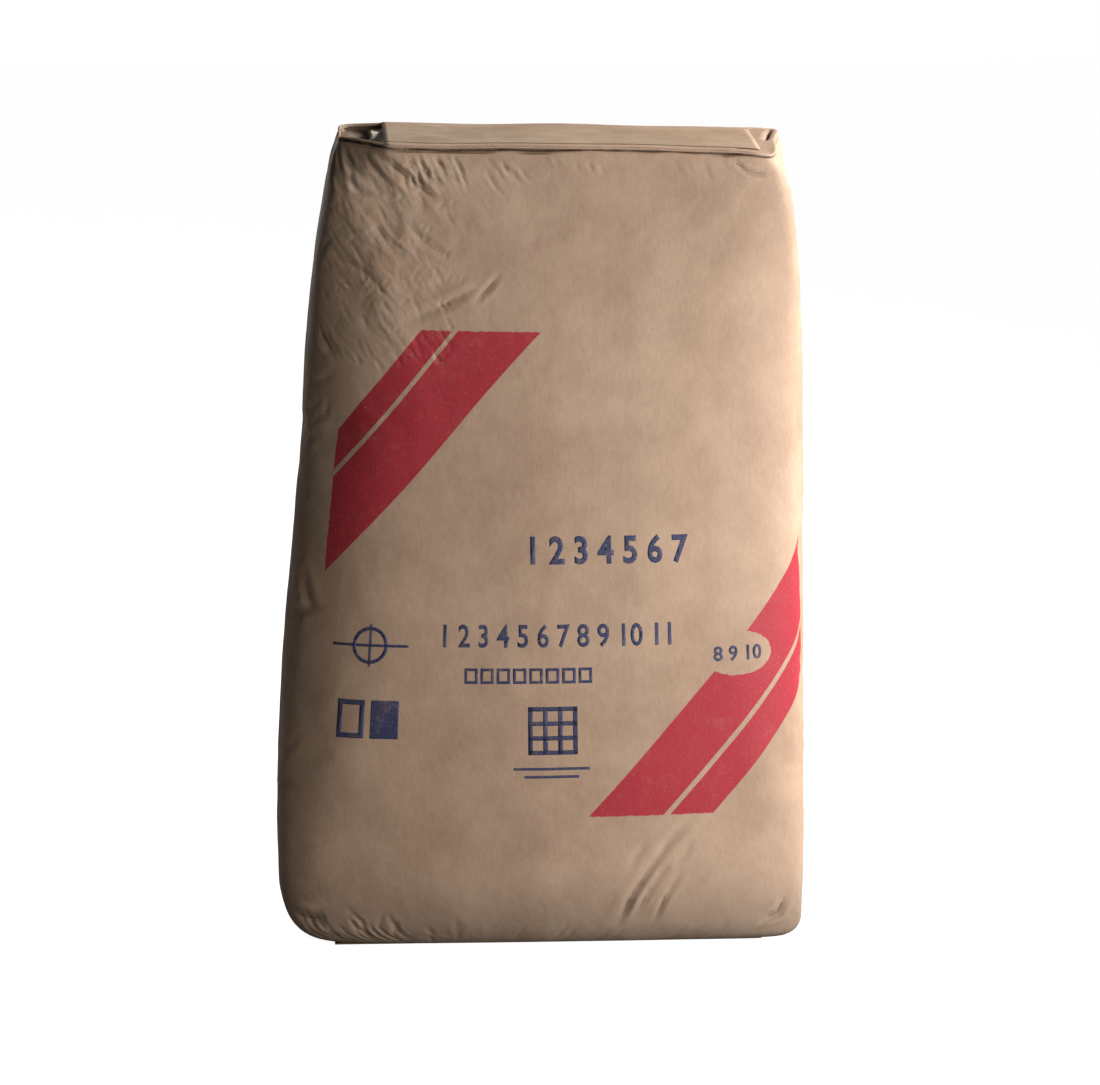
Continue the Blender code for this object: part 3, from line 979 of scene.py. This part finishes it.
KRAFT_FIBRES = kraft_group()
CEMENT_DUST = dust_group()
KRAFT_LIGHT = (0.458, 0.310, 0.212, 1)
KRAFT_DARK = (0.320, 0.203, 0.132, 1)
RED_INK = (0.350, 0.025, 0.036, 1)
RUBBED_RIDGE = (0.62, 0.46, 0.33, 1)
# Rubbed ridges are lighter; hollows get dirt and painted shade; the deepest folds and the foot get painted
# shade
FOLD_DIRT_AND_SHADE = (0.16, 0.095, 0.055, 1)
SHADED_FOLD = (0.11, 0.055, 0.030, 1)
DEEP_FOLD_SHADE = (0.050, 0.026, 0.014, 1)
FOOT_SHADE = (0.175, 0.125, 0.090, 1)
# The two slanting bands, on the flat sheet: how steep, v - steep * u from and to, the same for the bare
# line in each, and u and v from and to.
LEFT_BAND = (1.02, (0.5080, 0.6200), (0.5830, 0.5886), (-0.1915, 0.5), (0.0, 0.5058))
RIGHT_BAND = (1.15, (-0.0325, 0.0815), (0.0075, 0.0135), (-0.5, 0.222), (0.1185, 0.7))
WINDOW = (0.1522, 0.2481, 0.0290, 0.0179)      # a bare oval in the right band: its middle and half sizes


def band_mask(tree, u, v, band):
    steep, (low, high), (line_low, line_high), (left, right), (bottom, top) = band
    slant = minus(tree, v, times(tree, u, steep))
    mask = between(tree, slant, low, high, 0.0005)
    bare = between(tree, slant, line_low, line_high, 0.0005)
    mask = times(tree, mask, minus(tree, 1.0, bare))
    mask = times(tree, mask, between(tree, u, left, right, 0.0005))
    return times(tree, mask, between(tree, v, bottom, top, 0.0005))


def sack_paper():
    material, tree, shader = new_material("sack_paper", {"Specular IOR Level": 0.32, "IOR": 1.45})
    fibres = use_group(tree, KRAFT_FIBRES, {"Light": KRAFT_LIGHT, "Dark": KRAFT_DARK})
    place = put(tree, "TexCoord").outputs["Object"]
    flat = put(tree, "UVMap", uv_map="sheet").outputs["UV"]
    wobble = noise(tree, place, 260, 2, 0.6)
    apart = put(tree, "SeparateXYZ", {"Vector": flat})
    u, v = apart.outputs["X"], apart.outputs["Y"]
    shift = ramp(tree, wobble, 0.3, 0.7, -0.0004, 0.0004)
    u_edge = plus(tree, u, shift)
    v_edge = plus(tree, v, shift)
    bands = sums(
        tree, "MAXIMUM",
        band_mask(tree, u_edge, v_edge, LEFT_BAND),
        band_mask(tree, u_edge, v_edge, RIGHT_BAND),
    )
    bends = put(tree, "Attribute", attribute_name="bends").outputs["Fac"]
    ridge = ramp(tree, bends, 40.0, 190.0)
    hollow = ramp(tree, bends, -45.0, -220.0)
    deep = ramp(tree, bends, -230.0, -390.0)
    scuff = ramp(tree, noise(tree, place, 55, 6, 0.75), 0.52, 0.72)
    worn = plus(tree, times(tree, scuff, 0.10), times(tree, ridge, 0.35))
    worn = plus(tree, worn, ramp(tree, noise(tree, place, 700, 3, 0.7), 0.58, 0.70, 0.0, 0.30))
    middle_u, middle_v, half_wide, half_tall = WINDOW
    out_u = sums(tree, "DIVIDE", minus(tree, u_edge, middle_u), half_wide)
    out_v = sums(tree, "DIVIDE", minus(tree, v_edge, middle_v), half_tall)
    from_window = plus(tree, times(tree, out_u, out_u), times(tree, out_v, out_v))
    bands = times(tree, bands, ramp(tree, from_window, 0.97, 1.03))
    ink = times(tree, bands, minus(tree, 1.0, worn))
    colour = fibres["Color"]
    colour = mixed(tree, times(tree, ridge, 0.30), colour, RUBBED_RIDGE)
    # dirt and painted shade in the hollows of the folds
    colour = mixed(tree, times(tree, hollow, 0.35), colour, FOLD_DIRT_AND_SHADE)
    colour = mixed(tree, ink, colour, RED_INK)
    colour = mixed(tree, times(tree, hollow, 0.45), colour, SHADED_FOLD)
    # painted shade in the deepest folds, the groove under the lid and the valve's tuck
    colour = mixed(tree, times(tree, deep, 0.70), colour, DEEP_FOLD_SHADE)
    rise = put(tree, "SeparateXYZ", {"Vector": place}).outputs["Z"]
    # painted shade low on the foot, darker towards the floor
    colour = mixed(tree, ramp(tree, rise, 0.075, 0.0, 0.0, 0.62), colour, FOOT_SHADE)
    dusty = use_group(tree, CEMENT_DUST, {
        "Color": colour, "Amount": 0.55, "Hollow": ramp(tree, bends, -30.0, -90.0),
    })
    rough = ramp(tree, fibres["Cloud"], 0.3, 0.7, 0.62, 0.74)
    rough = plus(tree, rough, times(tree, bands, -0.12))
    rough = plus(tree, rough, times(tree, dusty["Dust"], 0.25))
    creased = put(tree, "Attribute", attribute_name="creased").outputs["Fac"]
    turned = put(tree, "Mapping", {
        "Vector": flat, "Rotation": (0, 0, math.radians(-42)), "Scale": (3.0, 1.0, 1.0),
    }, vector_type="TEXTURE")
    crinkle = noise(tree, turned.outputs["Vector"], 130, 2, 0.5)
    crinkle = sums(tree, "ABSOLUTE", minus(tree, crinkle, 0.5), 0.0)
    crinkle = times(tree, times(tree, crinkle, creased), -2.0)
    uneven = plus(tree, fibres["Height"], crinkle)
    dress(tree, shader, dusty["Color"], rough, uneven, 0.6, 0.0007)
    return material


tube.data.materials.append(sack_paper())

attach(tube, "root")
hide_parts("paper_tube")

# The printed marks.
# Dark blue ink, as thin as a film on the paper: rows of plain numbers, a row of empty date boxes, a
# register ring, two proof patches and an empty ruled box. All are drawn flat and laid on the paper.

INK_OUT = 0.00010
INK_THICK = 0.00006
MARKS_WITHIN = ((-0.21, 0.21), (0.13, 0.36))   # no mark lies outside this, in u and in v
INK_BLUE = (0.030, 0.036, 0.085, 1)


def on_paper(at_u, at_v, out):
    """The place on the finished paper for a place on the flat sheet."""
    column = (at_u / SHEET_ROUND + 0.5) * FINE_COLUMNS
    row = at_v / SHEET_TALL * FINE_ROWS
    i, j = int(row), int(column)
    s, t = row - i, column - j
    shares = (
        ((i, j), (1 - s) * (1 - t)),
        ((i, j + 1), (1 - s) * t),
        ((i + 1, j), s * (1 - t)),
        ((i + 1, j + 1), s * t),
    )
    place = sum(paper[at] * share for at, share in shares)
    normal = sum(paper_normals[at] * share for at, share in shares)
    return Vector(place + out * normal / np.linalg.norm(normal))


def leave_frame(mesh, face, width):
    """Cuts a face out but for a frame along its edge."""
    bmesh.ops.inset_region(mesh, faces=[face], thickness=width, use_even_offset=True, use_boundary=True)
    bmesh.ops.delete(mesh, geom=[face], context="FACES")


def draw_box(mesh, middle, size, frame_width=0.0):
    """A filled rectangle, or with a frame width only its frame."""
    place = Matrix.Translation((*middle, 0.0)) @ Matrix.Diagonal((*size, 1.0, 1.0))
    made = bmesh.ops.create_grid(mesh, x_segments=1, y_segments=1, size=0.5, matrix=place)["verts"]
    if frame_width:
        leave_frame(mesh, made[0].link_faces[0], frame_width)


def draw_ring(mesh, middle, radius, width):
    place = Matrix.Translation((*middle, 0.0))
    made = bmesh.ops.create_circle(mesh, cap_ends=True, segments=48, radius=radius, matrix=place)["verts"]
    leave_frame(mesh, made[0].link_faces[0], width)


def draw_text(mesh, words, middle, width, height, bold=0.012):
    """Text made a flat mesh, and stretched to a width and a height round its middle."""
    curve = bpy.data.curves.new("numbers", "FONT")
    curve.body = words
    curve.offset = bold
    curve.resolution_u = 3
    written = bpy.data.objects.new("numbers", curve)
    bpy.context.scene.collection.objects.link(written)
    flat = bpy.data.meshes.new_from_object(written.evaluated_get(bpy.context.evaluated_depsgraph_get()))
    places = points_of(flat)
    low, high = places.min(axis=0), places.max(axis=0)
    places[:, 0] = middle[0] + ((places[:, 0] - low[0]) / (high[0] - low[0]) - 0.5) * width
    places[:, 1] = middle[1] + ((places[:, 1] - low[1]) / (high[1] - low[1]) - 0.5) * height
    set_points(flat, places)
    mesh.from_mesh(flat)
    bpy.data.objects.remove(written)


DATE_BOXES = (-0.0154, 0.2345)   # the middle of the row
DATE_ROW = 0.091
REGISTER = (-0.1449, 0.2575)
GRID_MIDDLE = (0.0040, 0.1900)
GRID_CELL = 0.0118
GRID_SIZE = 0.0390
GRID_LINE = 0.0036

marks = bmesh.new()
draw_text(marks, "1 2 3 4 5 6 7", (0.0510, 0.3347), 0.126, 0.0235, 0.030)
draw_text(marks, "1 2 3 4 5 6 7 8 9 10 11", (0.0073, 0.2665), 0.183, 0.0190, 0.018)
for n in range(8):
    draw_box(marks, (DATE_BOXES[0] + DATE_ROW * (n / 7 - 0.5), DATE_BOXES[1]), (0.0108, 0.0125), 0.0023)
draw_ring(marks, REGISTER, 0.0148, 0.0028)
draw_box(marks, REGISTER, (0.0640, 0.0022))
draw_box(marks, REGISTER, (0.0022, 0.0335))
draw_box(marks, (-0.1575, 0.1982), (0.0225, 0.0310), 0.0042)
draw_box(marks, (-0.1300, 0.1982), (0.0225, 0.0310))
for n in range(4):
    off = GRID_CELL * (n - 1.5)
    draw_box(marks, (GRID_MIDDLE[0], GRID_MIDDLE[1] + off), (GRID_SIZE, GRID_LINE))
    draw_box(marks, (GRID_MIDDLE[0] + off, GRID_MIDDLE[1]), (GRID_LINE, GRID_SIZE))
draw_box(marks, (0.0029, 0.1590), (0.0600, 0.0022))
draw_box(marks, (0.0029, 0.1525), (0.0430, 0.0022))
draw_text(marks, "8 9 10", WINDOW[:2], 0.040, 0.0125, 0.025)


def lay_on_paper(mesh):
    """Cuts flat ink along the paper's rows and columns, lays it on, and gives it a film's thickness."""
    bmesh.ops.triangulate(mesh, faces=mesh.faces)
    across, up = MARKS_WITHIN
    for normal, cell, (first, last) in (
        ((1.0, 0.0, 0.0), SHEET_ROUND / FINE_COLUMNS, across),
        ((0.0, 1.0, 0.0), SHEET_TALL / FINE_ROWS, up),
    ):
        for n in range(math.ceil(first / cell), math.floor(last / cell) + 1):
            bmesh.ops.bisect_plane(
                mesh,
                geom=[*mesh.verts, *mesh.edges, *mesh.faces],
                dist=0.000001,
                plane_co=Vector(normal) * n * cell,
                plane_no=normal,
            )
    bmesh.ops.recalc_face_normals(mesh, faces=mesh.faces)
    down = [face for face in mesh.faces if face.normal.z < 0]
    bmesh.ops.reverse_faces(mesh, faces=down)
    for vert in mesh.verts:
        vert.co = on_paper(vert.co.x, vert.co.y, INK_OUT)
    mesh.normal_update()
    bmesh.ops.solidify(mesh, geom=mesh.faces, thickness=INK_THICK)


lay_on_paper(marks)
printed_marks = new_piece("printed_marks", marks)


def ink():
    material, tree, shader = new_material("blue_ink", {"Specular IOR Level": 0.35})
    fibres = use_group(tree, KRAFT_FIBRES, {"Light": KRAFT_LIGHT, "Dark": KRAFT_DARK})
    place = put(tree, "TexCoord").outputs["Object"]
    thin = ramp(tree, noise(tree, place, 60, 5, 0.7), 0.50, 0.75, 0.0, 0.25)
    pinholes = ramp(tree, noise(tree, place, 800, 3, 0.7), 0.56, 0.68, 0.0, 0.35)
    bare = plus(tree, thin, pinholes)
    colour = mixed(tree, bare, INK_BLUE, fibres["Color"])
    rough = ramp(tree, fibres["Cloud"], 0.3, 0.7, 0.55, 0.66)
    dress(tree, shader, colour, rough, fibres["Height"], 0.55, 0.0007)
    return material


printed_marks.data.materials.append(ink())
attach(printed_marks, "root")

# The cover strips.
# One strip of the same kraft is pasted over the flaps of each end, and holds them shut. The top one
# stops at the valve's mouth; the bag stands on the other.

TOP_STRIP = (VALVE_X, 0.168)
TOP_STRIP_HALF = 0.052
BOTTOM_STRIP = (-0.165, 0.175)
BOTTOM_STRIP_HALF = 0.046
UNDER_THICK = 0.0003             # the weight of the bag presses the bottom one thinner


def plain_kraft(name, light, dark, dust):
    material, tree, shader = new_material(name, {"Specular IOR Level": 0.32})
    fibres = use_group(tree, KRAFT_FIBRES, {"Light": light, "Dark": dark})
    dusty = use_group(tree, CEMENT_DUST, {"Color": fibres["Color"], "Amount": dust})
    rough = ramp(tree, fibres["Cloud"], 0.3, 0.7, 0.64, 0.76)
    rough = plus(tree, rough, times(tree, dusty["Dust"], 0.2))
    dress(tree, shader, dusty["Color"], rough, fibres["Height"], 0.6, 0.0008)
    return material


COVER_PAPER = plain_kraft("cover_paper", (0.425, 0.300, 0.195, 1), (0.290, 0.192, 0.118, 1), 0.8)


def cover_strip(name, ends, half_wide, height, thick):
    """A straight strip of paper along the middle of an end."""
    mesh = bmesh.new()
    paper_plate(mesh, (ends[0], -half_wide), (ends[1], half_wide), [], height, thick)
    strip = new_piece(name, mesh)
    strip.data.materials.append(COVER_PAPER)
    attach(strip, "root")
    return strip


top_strip = cover_strip("top_strip", TOP_STRIP, TOP_STRIP_HALF, lambda x, y: pile_height(x, y, 3), FLAP)
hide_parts("top_cover_strip")
bottom_strip = cover_strip("bottom_strip", BOTTOM_STRIP, BOTTOM_STRIP_HALF, lambda x, y: 0.0, UNDER_THICK)
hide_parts("bottom_cover_strip")

# The valve sleeve.
# A flat sleeve of thin pale kraft in the top left corner. The filling spout goes in through it, and
# the powder behind presses it shut. Its end stands a few millimetres out of the mouth.

SLEEVE_HALF = 0.047
SLEEVE_END = VALVE_X - 0.0105
SLEEVE_START = VALVE_X + 0.060
SLEEVE_STEPS = 26
SLEEVE_GAPE = 0.0011
SLEEVE_PAPER = 0.0002
SLEEVE_DEEP = 0.0026             # its middle lies this far under the end face


def sleeve_point(x, angle):
    """A point of the flattened sleeve: two limp walls, wavy at the free end, the front half hanging."""
    out = max(0.0, VALVE_X + 0.002 - x)
    y = SLEEVE_HALF * math.cos(angle)
    y *= 1 - 0.70 * min(1.0, out / 0.006) if y < 0 else 1.0
    wall = math.copysign(abs(math.sin(angle)) ** 0.5, math.sin(angle))
    gape = SLEEVE_GAPE * (1 + 26 * out * (1 + 0.8 * math.sin(70 * y + 2)))
    wave = out * (0.16 * math.sin(95 * y + 1.0) + 0.10 * math.sin(221 * y + 3.0))
    hang = 0.50 * out * float(step_up(-y, -0.012, 0.010)) * min(1.0, out / 0.004)
    ragged = 0.0
    if x < SLEEVE_END + 0.0015:
        ragged = 0.0009 * math.sin(160 * y + 0.5) + 0.0006 * math.sin(410 * y)
    middle = end_height(VALVE_X, y) - SLEEVE_DEEP
    return Vector((x + ragged, y, middle + gape * wall + wave - hang))


sleeve = bmesh.new()
ring = bmesh.ops.create_circle(sleeve, segments=96, radius=1.0)["verts"]
angles = {vert: math.atan2(vert.co.y, vert.co.x) for vert in ring}
for vert in ring:
    vert.co = sleeve_point(SLEEVE_START, angles[vert])
edges = sleeve.edges[:]
before = SLEEVE_START
for step in range(1, SLEEVE_STEPS + 1):
    x = SLEEVE_START + (SLEEVE_END - SLEEVE_START) * step / SLEEVE_STEPS

    def place(point):
        nearest = min(angles.values(), key=lambda angle: (sleeve_point(before, angle) - point).length)
        return sleeve_point(x, nearest)
    edges = draw_on(sleeve, edges, place)
    before = x
bmesh.ops.recalc_face_normals(sleeve, faces=sleeve.faces)
bmesh.ops.solidify(sleeve, geom=sleeve.faces, thickness=SLEEVE_PAPER)
valve = new_piece("valve_sleeve_paper", sleeve)
valve.data.materials.append(
    plain_kraft("sleeve_paper", (0.640, 0.545, 0.450, 1), (0.500, 0.410, 0.325, 1), 0.9)
)
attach(valve, "root")
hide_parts("valve_sleeve")

# The cement.
# The grey powder fills the sack to the folded ends. Nothing of it shows; it stands clear of the
# deepest folds of the paper.

POWDER_CLEAR = 0.012
# It stops under the folded end, and doesn't reach the valve's corner or the one that is pushed down:
# a point of each of these planes, and the way out of the powder.
POWDER_ENDS = (
    ((0.0, 0.0, 0.6200), (END_SLOPE, 0.0, 1.0)),
    ((-0.118, -0.030, 0.612), (-0.45, -0.25, 0.86)),
    ((0.165, -0.052, 0.612), (0.45, -0.45, 0.77)),
)

powder = bmesh.new()
powder.from_mesh(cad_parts["cement_fill"].data)
bmesh.ops.remove_doubles(powder, verts=powder.verts, dist=0.00002)
bmesh.ops.recalc_face_normals(powder, faces=powder.faces)
powder.normal_update()
inward = [(vert, vert.normal * -POWDER_CLEAR) for vert in powder.verts]
for vert, move in inward:
    vert.co += move
for plane_place, plane_out in POWDER_ENDS:
    bmesh.ops.bisect_plane(
        powder,
        geom=[*powder.verts, *powder.edges, *powder.faces],
        plane_co=plane_place,
        plane_no=plane_out,
        clear_outer=True,
    )
    bmesh.ops.holes_fill(powder, edges=[edge for edge in powder.edges if edge.is_boundary], sides=0)
cement = new_piece("cement", powder)


def powder_grey():
    material, tree, shader = new_material("cement_powder")
    place = put(tree, "TexCoord").outputs["Object"]
    grains = noise(tree, place, 500, 5, 0.8)
    lumps = noise(tree, place, 35, 3, 0.6)
    shade = plus(tree, ramp(tree, grains, 0.3, 0.7, 0.3, 0.7), ramp(tree, lumps, 0.3, 0.7, -0.2, 0.2))
    grey = mixed(tree, shade, (0.20, 0.196, 0.188, 1), (0.34, 0.334, 0.320, 1))
    dress(tree, shader, grey, ramp(tree, grains, 0.3, 0.7, 0.86, 0.97), grains, 0.5, 0.0006)
    return material


cement.data.materials.append(powder_grey())
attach(cement, "root")
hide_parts("cement_fill")

# The camera, the light and the floor.
# A long lens from just left of the front, a little above the bag's middle. A small lamp stands close
# on the right, a large one far in front and one above at the right, and a weak one behind on the left.

TURN, RISE = math.radians(-3.0), math.radians(12.0)
FAR = 4.0
FOCAL, PHOTO_WIDE = 5053.8, 1100.0   # in pixels of the photo
AIM_RIGHT, AIM_DOWN = 0.0084, 0.0050
forward = Vector((-math.sin(TURN) * math.cos(RISE), math.cos(TURN) * math.cos(RISE), -math.sin(RISE)))
to_right = Vector((math.cos(TURN), math.sin(TURN), 0.0))
to_top = to_right.cross(forward)
aimed = Vector((0.0, 0.0, HEIGHT / 2)) + to_right * AIM_RIGHT - to_top * AIM_DOWN
camera = bpy.data.objects.new("camera", bpy.data.cameras.new("camera"))
camera.data.sensor_width = 36.0
camera.data.lens = FOCAL / PHOTO_WIDE * camera.data.sensor_width
turned_there = Matrix((to_right, to_top, -forward)).transposed().to_4x4()
camera.matrix_world = Matrix.Translation(aimed - forward * FAR) @ turned_there
bpy.context.scene.collection.objects.link(camera)
bpy.context.scene.camera = camera


def lamp(name, place, aim, size, power, colour=(1.0, 1.0, 1.0)):
    """A square area lamp that looks at a point."""
    light = bpy.data.lights.new(name, "AREA")
    light.size = size
    light.energy = power
    light.color = colour
    made = bpy.data.objects.new(name, light)
    made.location = place
    made.rotation_euler = (Vector(aim) - Vector(place)).to_track_quat("-Z", "Y").to_euler()
    bpy.context.scene.collection.objects.link(made)


lamp("key", (0.86, -0.56, 0.46), (0.05, 0.0, 0.34), 0.26, 11.5, (0.940, 0.970, 1.0))
lamp("front", (1.50, -2.50, 1.00), (0.0, 0.0, 0.35), 1.0, 29.5, (1.0, 0.985, 0.955))
lamp("low sky", (1.15, 0.45, 1.25), (0.0, 0.0, 0.62), 0.40, 44.0)
lamp("back", (-0.80, 2.05, 0.75), (0.0, 0.0, 0.32), 1.0, 7.0)

floor_mesh = bmesh.new()
bmesh.ops.create_grid(floor_mesh, x_segments=1, y_segments=1, size=6.0)
floor = new_piece("floor", floor_mesh, smooth=False)
FLOOR_SEEN = 0.97                # the camera sees the floor as nearly white paper
floor_paint, floor_tree, floor_shader = new_material("floor", {
    "Base Color": (0.35, 0.35, 0.35, 1),
    "Roughness": 0.9,
    "Specular IOR Level": 0.1,
    "Emission Color": (1.0, 1.0, 1.0, 1),
})
looked_at = put(floor_tree, "LightPath").outputs["Is Camera Ray"]
seen_white = times(floor_tree, looked_at, FLOOR_SEEN)
floor_tree.links.new(seen_white, floor_shader.inputs["Emission Strength"])
floor.data.materials.append(floor_paint)

world = bpy.data.worlds.new("room")
bpy.context.scene.world = world
world.use_nodes = True
room = world.node_tree
room.nodes.clear()
seen = put(room, "LightPath").outputs["Is Camera Ray"]
dim = put(room, "Background", {"Color": (0.93, 0.95, 1.0, 1), "Strength": 0.045})
white = put(room, "Background", {"Color": (1.0, 1.0, 1.0, 1), "Strength": 1.0})
either = put(room, "MixShader", {0: seen, 1: dim.outputs[0], 2: white.outputs[0]})
put(room, "OutputWorld", {"Surface": either.outputs[0]})
bpy.context.scene.view_settings.view_transform = "Standard"
